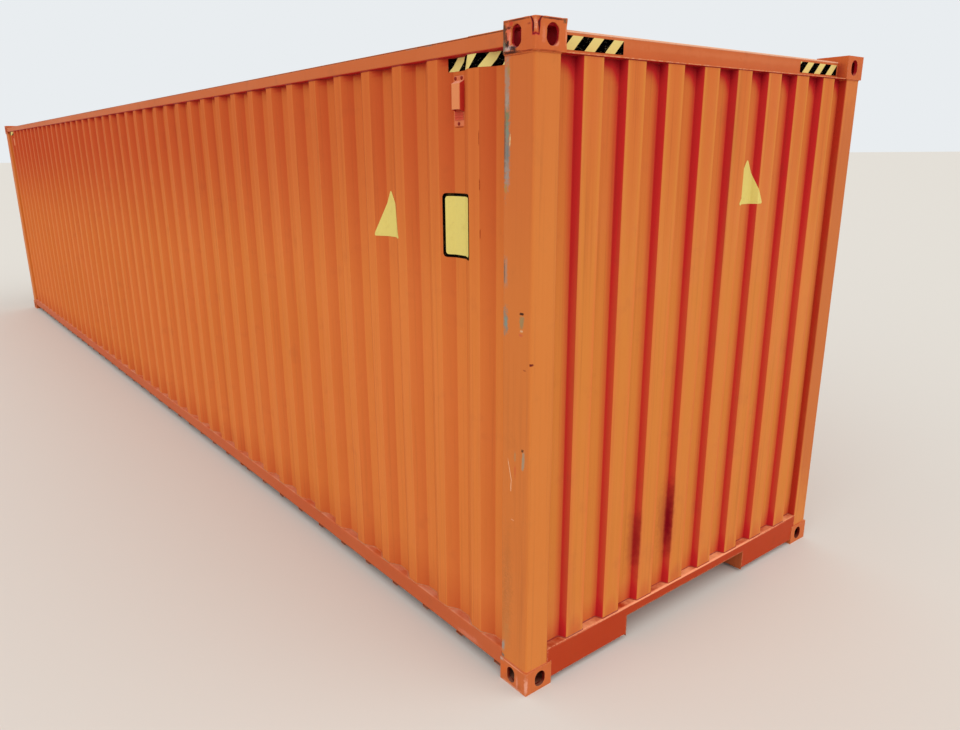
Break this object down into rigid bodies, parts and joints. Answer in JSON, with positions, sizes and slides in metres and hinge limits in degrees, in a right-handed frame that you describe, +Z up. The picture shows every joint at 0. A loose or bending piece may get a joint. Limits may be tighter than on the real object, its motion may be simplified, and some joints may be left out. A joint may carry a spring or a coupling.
{
  "type": "forty foot high-cube shipping container",
  "caption": "Long closed steel freight box with corrugated walls, slotted corner castings, a gooseneck tunnel and shut doors with locking bars.",
  "frame": {"origin": "centre of the footprint at the level of the bottom castings' feet", "axes": "+X along the length towards the closed front end, -Y the right side, +Z up"},
  "size_m": [12.192, 2.438, 2.896],
  "materials": {
    "casting_paint": "worn satin",
    "frame_paint": "worn satin",
    "wall_paint": "weathered satin",
    "roof_paint": "dusty satin",
    "underframe_paint": "dirty satin",
    "door_paint": "weathered satin",
    "bar_paint": "worn satin",
    "zinc_fittings": "galvanised",
    "seal_rubber": "matt",
    "plywood": "worn"
  },
  "bodies": {
    "root": {"casting_front_right_bottom": "casting_paint", "casting_front_right_top": "casting_paint", "casting_front_left_bottom": "casting_paint", "casting_front_left_top": "casting_paint", "casting_rear_right_bottom": "casting_paint", "casting_rear_right_top": "casting_paint", "casting_rear_left_bottom": "casting_paint", "casting_rear_left_top": "casting_paint", "front_post_right": "frame_paint", "front_post_left": "frame_paint", "rear_post_right": "frame_paint", "rear_post_left": "frame_paint", "top_side_rail_right": "frame_paint", "top_side_rail_left": "frame_paint", "bottom_side_rail_right": "frame_paint", "bottom_side_rail_left": "frame_paint", "front_header": "frame_paint", "front_sill": "frame_paint", "door_header": "frame_paint", "door_sill": "frame_paint", "side_wall_right": "wall_paint", "side_wall_left": "wall_paint", "front_wall": "wall_paint", "roof_panel": "roof_paint", "roof_plate_front": "roof_paint", "roof_plate_rear": "roof_paint", "floor_boards_panel": "plywood", "cross_members": "underframe_paint", "outriggers_right": "underframe_paint", "outriggers_left": "underframe_paint", "gooseneck_tunnel": "underframe_paint", "door_frame_right": "door_paint", "door_frame_left": "door_paint", "door_sheet_right": "door_paint", "door_sheet_left": "door_paint", "door_seals": "seal_rubber", "hinges_right": "zinc_fittings", "hinges_left": "zinc_fittings", "bar_keepers": "zinc_fittings", "bar_brackets": "zinc_fittings", "door_handles": "zinc_fittings", "locking_bar_right_outer": "bar_paint", "locking_bar_right_inner": "bar_paint", "locking_bar_left_inner": "bar_paint", "locking_bar_left_outer": "bar_paint", "ventilators": "wall_paint"}
  },
  "joints": []
}
